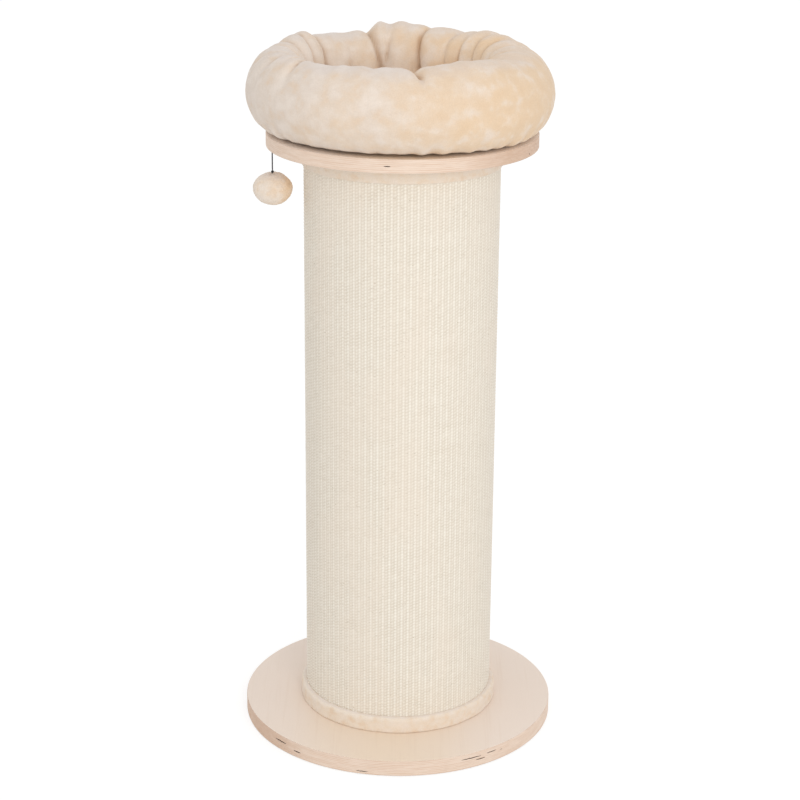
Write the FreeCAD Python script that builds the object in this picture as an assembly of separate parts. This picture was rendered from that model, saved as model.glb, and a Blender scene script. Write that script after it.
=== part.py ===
import FreeCAD, Part
import math
import os

# Cat scratching post with a round bed on top and a ball toy under the top plate.
# Millimetres. The origin is on the floor under the centre of the base plate, and +Z is up.
# The front, where the toy hangs a little to the left, faces -Y. +X is to the right.

Vector = FreeCAD.Vector
UP = Vector(0, 0, 1)
OUT = Vector(1, 0, 0)

# ---- Driving dimensions ----

# Felt pads under the base plate
PAD_COUNT = 6
PAD_RADIUS = 15.0
PAD_THICKNESS = 1.0
PAD_RIM_INSET = 12.0  # from the base plate's rim to a pad's edge

# Birch plywood plates
BASE_RADIUS = 250.0
BASE_THICKNESS = 26.0
TOP_OVERHANG = 56.5  # of the top plate past the sisal
TOP_THICKNESS = 21.0
PLATE_EDGE_ROUND = 1.5

# Post: a wound cardboard tube with a sisal mat glued round it
TUBE_RADIUS = 145.0
TUBE_WALL = 8.0
POST_LENGTH = 918.0
SISAL_THICKNESS = 5.9  # to the crowns of the ribs
RIB_COUNT = 96
RIB_DEPTH = 2.0
GLUE_FILM = 0.1  # between tube and sisal, tube and end discs
SEAM_ANGLE = 90.0  # the mat's two ends meet at the back
SEAM_GAP = 1.0

# Staples across the seam
SEAM_STAPLE_COUNT = 21
SEAM_STAPLE_WIDTH = 10.0
SEAM_STAPLE_LEG = 10.0
SEAM_STAPLE_WIRE = 1.2  # height of the flat wire
SEAM_STAPLE_GAUGE = 0.7  # thickness of the flat wire
SEAM_STAPLE_SINK = 0.9  # crown pressed in below the ribs' crowns
SEAM_STAPLE_END = 50.0  # from the end of the post to the first staple

# Plush bands round both ends of the post
LOWER_BAND_HEIGHT = 26.0
LOWER_BAND_THICKNESS = 8.0
LOWER_BAND_TOP_ROUND = 6.5
LOWER_BAND_FOOT_ROUND = 2.0
UPPER_BAND_HEIGHT = 28.0
UPPER_BAND_THICKNESS = 2.5  # at its lower edge
UPPER_BAND_FLARE = 6.0  # thickness against the top plate
BAND_CLEARANCE = 0.2

# Wooden discs that close the tube's ends, and the nails that hold them
DISC_THICKNESS = 24.0
NAIL_COUNT = 8
NAIL_RADIUS = 1.0
NAIL_LENGTH = 24.0
NAIL_HEAD_RADIUS = 2.5
NAIL_HEAD_THICKNESS = 1.0
NAIL_SINK = 0.3  # head below the tube's outer face

# M8 bolts, washers and tee nuts that hold each plate on its end disc
BOLT_COUNT = 4
BOLT_CIRCLE_RADIUS = 90.0
BOLT_FIRST_ANGLE = 45.0
BOLT_RADIUS = 4.0
BOLT_CLEARANCE = 0.5
BOLT_HEAD_FLATS = 13.0
BOLT_HEAD_HEIGHT = 5.3
BOLT_PROUD = 3.5  # bolt end past the tee nut
BOLT_TIP_CHAMFER = 0.8
WASHER_RADIUS = 10.0
WASHER_THICKNESS = 1.6
RECESS_RADIUS = 12.0
RECESS_DEPTH = 8.0
TEE_FLANGE_RADIUS = 11.0
TEE_FLANGE_THICKNESS = 1.6
TEE_BARREL_RADIUS = 5.0
TEE_BARREL_LENGTH = 10.0
THREAD_CLEARANCE = 0.05
BARREL_CLEARANCE = 0.05

# Hook-and-loop pads between top plate and bed
FASTENER_COUNT = 4
FASTENER_RADIUS = 30.0
FASTENER_CIRCLE_RADIUS = 105.0
HOOK_THICKNESS = 2.0
LOOP_THICKNESS = 2.0

# Bed: a stuffed ring and a loose floor cushion on a cloth-covered panel
BED_CENTRE_X = -4.0  # the bed sits a little to the left of the post's axis
PANEL_RADIUS = 180.0
PANEL_THICKNESS = 2.0
BOLSTER_OUTER_RADIUS = 234.5
BOLSTER_INNER_RADIUS = 128.0
BOLSTER_HEIGHT = 120.0
BOLSTER_OUTER_TOP_ROUND = 52.0
BOLSTER_INNER_TOP_ROUND = 50.0
BOLSTER_OUTER_FOOT_ROUND = 44.0
BOLSTER_INNER_FOOT_ROUND = 40.0
PLUSH_THICKNESS = 3.0  # of the cover on the bolster, the floor cushion and the ball
FILLING_CLEARANCE = 0.1
CUSHION_SIDE_CLEARANCE = 1.0
CUSHION_THICKNESS = 34.0  # at its edge
CUSHION_CROWN = 6.0
CUSHION_ROUND = 14.0

# Ball toy on an elastic cord, hung from a staple in the top plate's underside
TOY_RIM_INSET = 9.5  # from the top plate's rim to the staple's centre
TOY_ANGLE = 185.8
TOY_STAPLE_WIDTH = 10.0  # between the centres of its legs
TOY_STAPLE_DROP = 3.4  # from the plate down to the centre of its crown
TOY_STAPLE_BITE = 9.0  # legs' depth in the plate
TOY_WIRE_RADIUS = 0.6
TOP_KNOT_RADIUS = 3.0
KNOT_WIRE_CLEARANCE = 0.3
CORD_RADIUS = 1.0
CORD_LENGTH = 31.0
CORD_KNOT_CLEARANCE = 0.5
LOWER_KNOT_RADIUS = 2.5
LOWER_KNOT_FLAT = 0.3  # taken off its top, where the cord ends
KNOT_SEAT_CLEARANCE = 0.1
BALL_RADIUS = 31.0
BALL_HALF_HEIGHT = 25.0

# ---- Heights and places that follow from them ----

SISAL_RADIUS = TUBE_RADIUS + GLUE_FILM + SISAL_THICKNESS
TOP_RADIUS = SISAL_RADIUS + TOP_OVERHANG
BASE_BOTTOM = PAD_THICKNESS
BASE_TOP = BASE_BOTTOM + BASE_THICKNESS
POST_TOP = BASE_TOP + POST_LENGTH
PLATE_TOP = POST_TOP + TOP_THICKNESS
HOOK_TOP = PLATE_TOP + HOOK_THICKNESS
LOOP_TOP = HOOK_TOP + LOOP_THICKNESS
BED_FLOOR = LOOP_TOP + PANEL_THICKNESS
DISC_RADIUS = TUBE_RADIUS - TUBE_WALL - GLUE_FILM
BED_CENTRE = Vector(BED_CENTRE_X, 0, 0)
TOY_REACH = TOP_RADIUS - TOY_RIM_INSET
TOY_PLACE = Vector(
    TOY_REACH * math.cos(math.radians(TOY_ANGLE)), TOY_REACH * math.sin(math.radians(TOY_ANGLE)), 0
)
PIVOT_HEIGHT = POST_TOP - TOY_STAPLE_DROP
CORD_TOP = PIVOT_HEIGHT - TOP_KNOT_RADIUS - CORD_KNOT_CLEARANCE
CORD_BOTTOM = CORD_TOP - CORD_LENGTH
LOWER_KNOT_HEIGHT = CORD_BOTTOM - LOWER_KNOT_RADIUS + LOWER_KNOT_FLAT
BALL_CENTRE_HEIGHT = LOWER_KNOT_HEIGHT - BALL_HALF_HEIGHT


# ---- Helpers ----


def save(node, solids):
    """Write one node, which is one solid or a group of separate ones."""
    shape = solids[0] if len(solids) == 1 else Part.makeCompound(solids)
    shape.exportStep("parts/" + node + ".step")


def disc(radius, low, high, place=Vector(0, 0, 0)):
    return Part.makeCylinder(radius, high - low, place + UP * low)


def ring(inner, outer, low, high, place=Vector(0, 0, 0)):
    return disc(outer, low, high, place).cut(disc(inner, low, high, place))


def around(shape, count, first_angle=0.0):
    """Copies of a shape at even steps round the Z axis."""
    copies = []
    for i in range(count):
        copy = shape.copy()
        copy.rotate(Vector(0, 0, 0), UP, first_angle + 360.0 * i / count)
        copies.append(copy)
    return copies


def moved(solids, offset):
    copies = [solid.copy() for solid in solids]
    for copy in copies:
        copy.translate(offset)
    return copies


def turned_over(solids, height):
    """Copies turned upside down about a level line at this height."""
    copies = [solid.copy() for solid in solids]
    for copy in copies:
        copy.rotate(Vector(0, 0, height), OUT, 180)
    return copies


def half_section(start, steps):
    """A closed face in the XZ plane. A step is the next corner, or the middle and end of an arc."""
    edges = []
    here = Vector(start[0], 0, start[1])
    for step in steps:
        points = [Vector(p[0], 0, p[1]) for p in step]
        if len(points) == 1:
            edges.append(Part.LineSegment(here, points[0]).toShape())
        else:
            edges.append(Part.Arc(here, points[0], points[1]).toShape())
        here = points[-1]
    return Part.Face(Part.Wire(edges))


def turned(face, place=Vector(0, 0, 0)):
    """The solid that a half section sweeps round the Z axis."""
    solid = face.revolve(Vector(0, 0, 0), UP, 360)
    return moved([solid], place)[0]


def corner(centre, radius, angle):
    """The middle of a rounded corner, seen from its centre at this angle in degrees."""
    a = math.radians(angle)
    return (centre[0] + radius * math.cos(a), centre[1] + radius * math.sin(a))


def rounded_ring(inner, outer, low, high, rounds, place=Vector(0, 0, 0)):
    """A ring whose section has rounded corners: outer foot, outer top, inner top, inner foot."""
    limit = 0.499 * min(outer - inner, high - low)
    a, b, c, d = [max(min(r, limit), 0.01) for r in rounds]
    foot_out, top_out = (outer - a, low + a), (outer - b, high - b)
    top_in, foot_in = (inner + c, high - c), (inner + d, low + d)
    steps = [
        [(outer - a, low)],
        [corner(foot_out, a, -45), (outer, low + a)],
        [(outer, high - b)],
        [corner(top_out, b, 45), (outer - b, high)],
        [(inner + c, high)],
        [corner(top_in, c, 135), (inner, high - c)],
        [(inner, low + d)],
        [corner(foot_in, d, 225), (inner + d, low)],
    ]
    return turned(half_section((inner + d, low), steps), place)


def crowned_disc(radius, low, high, crown, edge, place=Vector(0, 0, 0)):
    """A disc with a rounded edge and a domed top, which is part of a sphere."""
    e = min(edge, 0.49 * (high - low))
    flat = radius - e
    sphere = (flat**2 + crown**2) / (2 * crown)
    half_way = (0.5 * flat, high + crown - sphere + math.sqrt(sphere**2 - (0.5 * flat) ** 2))
    steps = [
        [(flat, low)],
        [corner((flat, low + e), e, -45), (radius, low + e)],
        [(radius, high - e)],
        [corner((flat, high - e), e, 45), (flat, high)],
        [half_way, (0, high + crown)],
        [(0, low)],
    ]
    return turned(half_section((0, low), steps), place)


def flattened_ball(radius, half_height, centre):
    matrix = FreeCAD.Matrix()
    matrix.scale(1, 1, half_height / radius)
    return moved([Part.makeSphere(radius).transformGeometry(matrix)], centre)[0]


# ---- Plates and felt pads ----


def felt_pads():
    reach = BASE_RADIUS - PAD_RIM_INSET - PAD_RADIUS
    return around(disc(PAD_RADIUS, 0, PAD_THICKNESS, Vector(reach, 0, 0)), PAD_COUNT)


def rim_edges(plate, radius):
    """The two circles where a plate's faces meet its edge."""
    circles = [e for e in plate.Edges if isinstance(e.Curve, Part.Circle)]
    return [e for e in circles if abs(e.Curve.Radius - radius) < 1e-6]


def bolt_place():
    return Vector(BOLT_CIRCLE_RADIUS, 0, 0)


def plate(radius, low, thickness, recess_low, recess_high):
    """A round plate with its bolt holes, which are wider between the two recess heights."""
    body = disc(radius, low, low + thickness)
    body = body.makeFillet(PLATE_EDGE_ROUND, rim_edges(body, radius))
    hole = disc(BOLT_RADIUS + BOLT_CLEARANCE, low, low + thickness, bolt_place())
    recess = disc(RECESS_RADIUS, recess_low, recess_high, bolt_place())
    tools = around(hole, BOLT_COUNT, BOLT_FIRST_ANGLE) + around(recess, BOLT_COUNT, BOLT_FIRST_ANGLE)
    return body.cut(tools)


# ---- Bolted joint, built for the base and turned over for the top ----


def washers(recess_floor):
    low = recess_floor - WASHER_THICKNESS
    washer = ring(BOLT_RADIUS + BOLT_CLEARANCE, WASHER_RADIUS, low, recess_floor, bolt_place())
    return around(washer, BOLT_COUNT, BOLT_FIRST_ANGLE)


def bolts(recess_floor, tee_face):
    """Hexagon bolts: heads under the washers, shanks up through the tee nuts."""
    seat = recess_floor - WASHER_THICKNESS
    corners = []
    for i in range(7):
        angle = math.radians(60.0 * i)
        reach = BOLT_HEAD_FLATS / math.sqrt(3)
        corners.append(Vector(reach * math.cos(angle), reach * math.sin(angle), seat - BOLT_HEAD_HEIGHT))
    head = Part.Face(Part.makePolygon(corners)).extrude(UP * BOLT_HEAD_HEIGHT)
    end = tee_face + TEE_FLANGE_THICKNESS + BOLT_PROUD
    shank = disc(BOLT_RADIUS, seat, end - BOLT_TIP_CHAMFER)
    tip = Part.makeCone(
        BOLT_RADIUS, BOLT_RADIUS - BOLT_TIP_CHAMFER, BOLT_TIP_CHAMFER, UP * (end - BOLT_TIP_CHAMFER)
    )
    bolt = head.fuse([shank, tip]).removeSplitter()
    bolt.translate(bolt_place())
    return around(bolt, BOLT_COUNT, BOLT_FIRST_ANGLE)


def tee_nuts(tee_face):
    """Flange on the disc's inner face, barrel down into the disc."""
    flange = disc(TEE_FLANGE_RADIUS, tee_face, tee_face + TEE_FLANGE_THICKNESS)
    barrel = disc(TEE_BARREL_RADIUS, tee_face - TEE_BARREL_LENGTH, tee_face)
    bore = disc(BOLT_RADIUS + THREAD_CLEARANCE, tee_face - TEE_BARREL_LENGTH, tee_face + TEE_FLANGE_THICKNESS)
    nut = flange.fuse(barrel).cut(bore).removeSplitter()
    nut.translate(bolt_place())
    return around(nut, BOLT_COUNT, BOLT_FIRST_ANGLE)


def nails(height, head_reach=0.0):
    """Nails driven in through the tube, level with the middle of an end disc."""
    face = TUBE_RADIUS - NAIL_SINK
    neck = Vector(face - NAIL_HEAD_THICKNESS, 0, height)
    head = Part.makeCylinder(NAIL_HEAD_RADIUS, NAIL_HEAD_THICKNESS + head_reach, neck, OUT)
    shank = Part.makeCylinder(NAIL_RADIUS, NAIL_LENGTH, neck, OUT * -1)
    return around(head.fuse(shank), NAIL_COUNT, 0.5 * 360.0 / NAIL_COUNT)


def end_disc(low, height_of_nails):
    high = low + DISC_THICKNESS
    hole = disc(TEE_BARREL_RADIUS + BARREL_CLEARANCE, low, high, bolt_place())
    tools = around(hole, BOLT_COUNT, BOLT_FIRST_ANGLE) + nails(height_of_nails)
    return disc(DISC_RADIUS, low, high).cut(tools)


# ---- Post ----


def post_tube(nail_heights, staples):
    tube = ring(TUBE_RADIUS - TUBE_WALL, TUBE_RADIUS, BASE_TOP, POST_TOP)
    tools = list(staples)
    for height in nail_heights:
        tools += nails(height, 2 * NAIL_SINK)
    return tube.cut(tools)


def seam_staples():
    """Flat wire staples whose crowns lie across the seam and whose legs go into the tube."""
    crown_face = SISAL_RADIUS - SEAM_STAPLE_SINK + SEAM_STAPLE_GAUGE
    half, gauge, leg = 0.5 * SEAM_STAPLE_WIDTH, SEAM_STAPLE_GAUGE, SEAM_STAPLE_LEG
    across = [
        (0, half),
        (-leg, half),
        (-leg, half - gauge),
        (-gauge, half - gauge),
        (-gauge, gauge - half),
        (-leg, gauge - half),
        (-leg, -half),
        (0, -half),
        (0, half),
    ]
    low = BASE_TOP + SEAM_STAPLE_END
    outline = [Vector(crown_face + x, y, low) for x, y in across]
    staple = Part.Face(Part.makePolygon(outline)).extrude(UP * SEAM_STAPLE_WIRE)
    staple.rotate(Vector(0, 0, 0), UP, SEAM_ANGLE)
    pitch = (POST_LENGTH - 2 * SEAM_STAPLE_END - SEAM_STAPLE_WIRE) / (SEAM_STAPLE_COUNT - 1)
    return [moved([staple], UP * (pitch * i))[0] for i in range(SEAM_STAPLE_COUNT)]


def sisal_cover(staples):
    """A sleeve with upright ribs all round, open along a narrow seam at the back."""
    step = 360.0 / RIB_COUNT
    edges = []

    def point(radius, angle):
        a = math.radians(angle)
        return Vector(radius * math.cos(a), radius * math.sin(a), BASE_TOP)

    for i in range(RIB_COUNT):
        angle = SEAM_ANGLE + i * step
        groove = point(SISAL_RADIUS - RIB_DEPTH, angle)
        crown = point(SISAL_RADIUS, angle + 0.5 * step)
        edges.append(Part.Arc(groove, crown, point(SISAL_RADIUS - RIB_DEPTH, angle + step)).toShape())
    ribs = Part.Face(Part.Wire(edges)).extrude(UP * POST_LENGTH)
    sleeve = ribs.cut(disc(TUBE_RADIUS + GLUE_FILM, BASE_TOP, POST_TOP))
    seam = Part.makeBox(SISAL_RADIUS, SEAM_GAP, POST_LENGTH, Vector(0, -0.5 * SEAM_GAP, BASE_TOP))
    seam.rotate(Vector(0, 0, 0), UP, SEAM_ANGLE)
    return sleeve.cut([seam] + staples)


def lower_plush_band():
    """A padded band with a soft outer edge, flat against the sisal and the base."""
    inner = SISAL_RADIUS + BAND_CLEARANCE
    outer = inner + LOWER_BAND_THICKNESS
    high = BASE_TOP + LOWER_BAND_HEIGHT
    foot = min(LOWER_BAND_FOOT_ROUND, 0.9 * LOWER_BAND_THICKNESS, 0.49 * LOWER_BAND_HEIGHT)
    top = min(LOWER_BAND_TOP_ROUND, 0.9 * LOWER_BAND_THICKNESS, 0.49 * LOWER_BAND_HEIGHT)
    steps = [
        [(outer - foot, BASE_TOP)],
        [corner((outer - foot, BASE_TOP + foot), foot, -45), (outer, BASE_TOP + foot)],
        [(outer, high - top)],
        [corner((outer - top, high - top), top, 45), (outer - top, high)],
        [(inner, high)],
        [(inner, BASE_TOP)],
    ]
    return turned(half_section((inner, BASE_TOP), steps))


def upper_plush_band():
    """A thin band that flares out against the top plate."""
    inner = SISAL_RADIUS + BAND_CLEARANCE
    low = POST_TOP - UPPER_BAND_HEIGHT
    thin, wide = inner + UPPER_BAND_THICKNESS, inner + UPPER_BAND_FLARE
    waist = (thin + 0.12 * (wide - thin), low + 0.6 * UPPER_BAND_HEIGHT)
    steps = [[(thin, low)], [waist, (wide, POST_TOP)], [(inner, POST_TOP)], [(inner, low)]]
    return turned(half_section((inner, low), steps))


# ---- Bed ----


def fastener_pads(low, thickness):
    pad = disc(FASTENER_RADIUS, low, low + thickness, Vector(FASTENER_CIRCLE_RADIUS, 0, 0))
    return moved(around(pad, FASTENER_COUNT), BED_CENTRE)


def bolster(inset):
    """The stuffed ring, or the same ring made smaller all round by the inset."""
    rounds = (
        BOLSTER_OUTER_FOOT_ROUND - inset,
        BOLSTER_OUTER_TOP_ROUND - inset,
        BOLSTER_INNER_TOP_ROUND - inset,
        BOLSTER_INNER_FOOT_ROUND - inset,
    )
    return rounded_ring(
        BOLSTER_INNER_RADIUS + inset,
        BOLSTER_OUTER_RADIUS - inset,
        BED_FLOOR + inset,
        BED_FLOOR + BOLSTER_HEIGHT - inset,
        rounds,
        BED_CENTRE,
    )


def floor_cushion(inset):
    radius = BOLSTER_INNER_RADIUS - CUSHION_SIDE_CLEARANCE - inset
    low, high = BED_FLOOR + inset, BED_FLOOR + CUSHION_THICKNESS - inset
    return crowned_disc(radius, low, high, CUSHION_CROWN, CUSHION_ROUND - inset, BED_CENTRE)


# ---- Toy ----


def toy_staple():
    half = 0.5 * TOY_STAPLE_WIDTH
    rise = TOY_STAPLE_DROP + TOY_STAPLE_BITE
    pieces = [Part.makeCylinder(TOY_WIRE_RADIUS, TOY_STAPLE_WIDTH, Vector(-half, 0, PIVOT_HEIGHT), OUT)]
    for side in (-half, half):
        pieces.append(Part.makeCylinder(TOY_WIRE_RADIUS, rise, Vector(side, 0, PIVOT_HEIGHT)))
        pieces.append(Part.makeSphere(TOY_WIRE_RADIUS, Vector(side, 0, PIVOT_HEIGHT)))
    staple = pieces[0].fuse(pieces[1:])
    staple.translate(TOY_PLACE)
    return staple


def top_knot():
    """The cord's knot round the staple's crown, free to turn on it."""
    reach = 2 * TOP_KNOT_RADIUS
    hole = disc(TOY_WIRE_RADIUS + KNOT_WIRE_CLEARANCE, -reach, reach)
    knot = Part.makeSphere(TOP_KNOT_RADIUS).cut(hole)
    knot.rotate(Vector(0, 0, 0), Vector(0, 1, 0), 90)
    return moved([knot], TOY_PLACE + UP * PIVOT_HEIGHT)[0]


def lower_knot(grow=0.0):
    """The knot on the ball, with a flat top where the cord ends."""
    knot = Part.makeSphere(LOWER_KNOT_RADIUS + grow, TOY_PLACE + UP * LOWER_KNOT_HEIGHT)
    if grow:
        return knot
    above = disc(2 * LOWER_KNOT_RADIUS, CORD_BOTTOM, CORD_BOTTOM + LOWER_KNOT_RADIUS, TOY_PLACE)
    return knot.cut(above)


def ball(inset):
    place = TOY_PLACE + UP * BALL_CENTRE_HEIGHT
    return flattened_ball(BALL_RADIUS - inset, BALL_HALF_HEIGHT - inset, place)


# ---- Assembly ----


def main():
    os.makedirs("parts", exist_ok=True)
    lower_nails_at = BASE_TOP + 0.5 * DISC_THICKNESS
    upper_nails_at = POST_TOP - 0.5 * DISC_THICKNESS
    staples = seam_staples()

    save("floor_felt_pads", felt_pads())
    recess_floor = BASE_BOTTOM + RECESS_DEPTH
    tee_face = BASE_TOP + DISC_THICKNESS
    save("base_plate", [plate(BASE_RADIUS, BASE_BOTTOM, BASE_THICKNESS, BASE_BOTTOM, recess_floor)])
    save("lower_end_disc", [end_disc(BASE_TOP, lower_nails_at)])
    save("lower_disc_nails", nails(lower_nails_at))
    save("base_washers", washers(recess_floor))
    save("base_bolts", bolts(recess_floor, tee_face))
    save("base_tee_nuts", tee_nuts(tee_face))

    save("post_tube", [post_tube([lower_nails_at, upper_nails_at], staples)])
    save("sisal_cover", [sisal_cover(staples)])
    save("seam_staples", staples)
    save("lower_plush_band", [lower_plush_band()])
    save("upper_plush_band", [upper_plush_band()])

    save("upper_end_disc", [end_disc(POST_TOP - DISC_THICKNESS, upper_nails_at)])
    save("upper_disc_nails", nails(upper_nails_at))
    # The top joint is the base joint turned over about the post's mid height, with a thinner plate.
    mid_height = 0.5 * (BASE_TOP + POST_TOP)
    top_recess_floor = PLATE_TOP - RECESS_DEPTH
    mirrored_floor = 2 * mid_height - top_recess_floor
    save("top_washers", turned_over(washers(mirrored_floor), mid_height))
    save("top_bolts", turned_over(bolts(mirrored_floor, tee_face), mid_height))
    save("top_tee_nuts", turned_over(tee_nuts(tee_face), mid_height))
    top_plate = plate(TOP_RADIUS, POST_TOP, TOP_THICKNESS, top_recess_floor, PLATE_TOP)
    save("top_plate", [top_plate.cut(toy_staple())])

    save("plate_hook_pads", fastener_pads(PLATE_TOP, HOOK_THICKNESS))
    save("bed_loop_pads", fastener_pads(HOOK_TOP, LOOP_THICKNESS))
    save("bed_underside_panel", [disc(PANEL_RADIUS, LOOP_TOP, BED_FLOOR, BED_CENTRE)])
    save("bolster_cover", [bolster(0).cut(bolster(PLUSH_THICKNESS))])
    save("bolster_filling", [bolster(PLUSH_THICKNESS + FILLING_CLEARANCE)])
    save("floor_cushion_cover", [floor_cushion(0).cut(floor_cushion(PLUSH_THICKNESS))])
    save("floor_cushion_filling", [floor_cushion(PLUSH_THICKNESS + FILLING_CLEARANCE)])

    save("toy_staple", [toy_staple()])
    save("toy_top_knot", [top_knot()])
    save("toy_cord", [disc(CORD_RADIUS, CORD_BOTTOM, CORD_TOP, TOY_PLACE)])
    save("toy_lower_knot", [lower_knot()])
    save("toy_ball_cover", [ball(0).cut([ball(PLUSH_THICKNESS), lower_knot(KNOT_SEAT_CLEARANCE)])])
    save("toy_ball_filling", [ball(PLUSH_THICKNESS + FILLING_CLEARANCE)])


main()
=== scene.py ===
import math
from collections import namedtuple

import bpy
import bmesh
import numpy as np
from mathutils import Matrix, Vector, noise


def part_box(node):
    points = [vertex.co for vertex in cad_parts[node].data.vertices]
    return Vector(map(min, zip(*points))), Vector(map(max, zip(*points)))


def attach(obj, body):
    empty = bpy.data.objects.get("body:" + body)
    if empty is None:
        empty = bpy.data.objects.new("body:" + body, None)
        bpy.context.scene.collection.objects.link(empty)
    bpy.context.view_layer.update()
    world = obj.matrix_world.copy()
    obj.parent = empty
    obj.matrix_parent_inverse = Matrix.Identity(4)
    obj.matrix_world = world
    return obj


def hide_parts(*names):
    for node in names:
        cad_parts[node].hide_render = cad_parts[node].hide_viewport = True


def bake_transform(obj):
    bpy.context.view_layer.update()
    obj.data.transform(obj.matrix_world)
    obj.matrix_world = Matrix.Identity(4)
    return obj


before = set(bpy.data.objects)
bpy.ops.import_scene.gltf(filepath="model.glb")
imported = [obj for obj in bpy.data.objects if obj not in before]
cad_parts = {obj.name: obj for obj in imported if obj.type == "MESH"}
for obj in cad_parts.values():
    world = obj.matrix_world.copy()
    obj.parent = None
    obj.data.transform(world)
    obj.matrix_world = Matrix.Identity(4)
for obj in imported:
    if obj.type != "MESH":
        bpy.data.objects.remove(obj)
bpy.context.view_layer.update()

# A cat scratching post: plywood base and top plate, a post in ribbed sisal with a plush band at
# each end, a stuffed ring bed with a floor cushion, and a plush ball on a cord.
# Metres. The front faces -Y, +X is to the right, and angles round the post start at +X.

MM = 0.001
CENTRE = Vector((0.0, 0.0, 0.0))

# ---- Places and sizes, from the frame where it gives them ----

base_low, base_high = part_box("base_plate")
top_low, top_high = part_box("top_plate")
sisal_low, sisal_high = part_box("sisal_cover")
lower_band_low, lower_band_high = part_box("lower_plush_band")
upper_band_low, upper_band_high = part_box("upper_plush_band")
panel_low, panel_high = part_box("bed_underside_panel")
ring_low, ring_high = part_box("bolster_cover")
cushion_low, cushion_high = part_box("floor_cushion_cover")
cord_low, cord_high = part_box("toy_cord")
ball_low, ball_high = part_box("toy_ball_cover")
top_knot_low, top_knot_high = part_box("toy_top_knot")
lower_knot_low, lower_knot_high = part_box("toy_lower_knot")

BASE_RADIUS = base_high.x
TOP_RADIUS = top_high.x
PLATE_EDGE_ROUND = 1.5 * MM
PLY = 1.4 * MM
PLY_SETBACK = 0.12 * MM
PLATE_SEGMENTS = 540
BOLT_HOLE_RADIUS = 4.5 * MM
BOLT_RECESS_RADIUS = 12 * MM
BOLT_RECESS_DEPTH = 8 * MM
BOLT_CIRCLE_RADIUS = 90 * MM

RIB_COUNT = 96
RIB_DEPTH = 2 * MM
RIB_STEP = 2 * math.pi / RIB_COUNT
SISAL_RADIUS = sisal_high.x / math.cos(RIB_STEP / 2)  # at the crowns, which lie half a rib off +X
TUBE_RADIUS = 145.1 * MM
SEAM_ANGLE = math.pi / 2
SEAM_GAP = 1 * MM
BEAD_PITCH = 5.05 * MM

RING_CENTRE = Vector(((ring_low.x + ring_high.x) / 2, 0.0, 0.0))
RING_OUTER = (ring_high.x - ring_low.x) / 2
RING_INNER = 128 * MM
RING_MIDDLE = (RING_OUTER + RING_INNER) / 2
RING_MIDHEIGHT = (ring_low.z + ring_high.z) / 2
PANEL_RADIUS = (panel_high.x - panel_low.x) / 2
FOOT_SAG = 2.5 * MM

CUSHION_RADIUS = (cushion_high.x - cushion_low.x) / 2

CORD_AXIS = Vector(((cord_low.x + cord_high.x) / 2, (cord_low.y + cord_high.y) / 2, 0.0))
CORD_DIAMETER = 2 * MM
BALL_CENTRE = (ball_low + ball_high) / 2

# ---- Meshes ----


def mesh_object(name, points, faces, sharp_degrees=None):
    """A smooth-shaded object, its faces all turned outwards."""
    mesh = bpy.data.meshes.new(name)
    mesh.from_pydata(np.asarray(points).reshape(-1, 3).tolist(), [], faces)
    shell = bmesh.new()
    shell.from_mesh(mesh)
    bmesh.ops.recalc_face_normals(shell, faces=shell.faces)
    shell.to_mesh(mesh)
    shell.free()
    mesh.shade_smooth()
    if sharp_degrees:
        mesh.set_sharp_from_angle(angle=math.radians(sharp_degrees))
    made = bpy.data.objects.new(name, mesh)
    bpy.context.scene.collection.objects.link(made)
    return made


def grid_faces(columns, rows, close_columns=True, close_rows=True):
    """Quads over a grid of points that are numbered down each column in turn."""
    across = np.arange(columns if close_columns else columns - 1)
    along = np.arange(rows if close_rows else rows - 1)
    i, j = np.meshgrid(across, along, indexing="ij")
    i_next, j_next = (i + 1) % columns, (j + 1) % rows
    corners = [i * rows + j, i_next * rows + j, i_next * rows + j_next, i * rows + j_next]
    return np.stack(corners, axis=-1).reshape(-1, 4).tolist()


def coordinates(mesh):
    flat = np.empty(3 * len(mesh.vertices), np.float32)
    mesh.vertices.foreach_get("co", flat)
    return flat.reshape(-1, 3).astype(float)


def normals(mesh):
    flat = np.empty(3 * len(mesh.vertices), np.float32)
    mesh.vertex_normals.foreach_get("vector", flat)
    return flat.reshape(-1, 3).astype(float)


def set_coordinates(mesh, points):
    mesh.vertices.foreach_set("co", np.asarray(points, np.float32).ravel())
    mesh.update()


def store(piece, name, values):
    """Keeps one number, or one vector, per point for the material to read."""
    values = np.asarray(values, np.float32)
    kind, field = ("FLOAT", "value") if values.ndim == 1 else ("FLOAT_VECTOR", "vector")
    attribute = piece.data.attributes.new(name, kind, "POINT")
    attribute.data.foreach_set(field, values.ravel())


def polar(radius, angle, height, centre=CENTRE):
    """Points from radii, angles and heights, which may be arrays."""
    radius, angle, height = np.broadcast_arrays(radius, angle, height)
    x = centre[0] + radius * np.cos(angle)
    y = centre[1] + radius * np.sin(angle)
    return np.stack([x, y, height], axis=-1)


def smooth_step(value, start, end):
    t = np.clip((value - start) / (end - start), 0, 1)
    return t * t * (3 - 2 * t)


def wave(angle, seed, low, high, count=6):
    """An uneven undulation round a full turn, about -1 to 1, with low to high crests."""
    random = np.random.default_rng(seed)
    total = np.zeros_like(angle)
    for _ in range(count):
        total += np.cos(random.integers(low, high + 1) * angle + random.uniform(0, 2 * math.pi))
    return total / math.sqrt(2 * count)


def lumps(points, size, seed):
    """Smooth noise from -1 to 1 at points in space, with lumps of about this size."""
    shift = Vector((seed * 7.3, seed * 3.1, seed * 5.7))
    return np.array([noise.noise(Vector(p) / size + shift) for p in points])


def push(piece, distance):
    """Moves each point out along its normal by its own distance."""
    mesh = piece.data
    set_coordinates(mesh, coordinates(mesh) + normals(mesh) * np.asarray(distance)[:, None])


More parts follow.
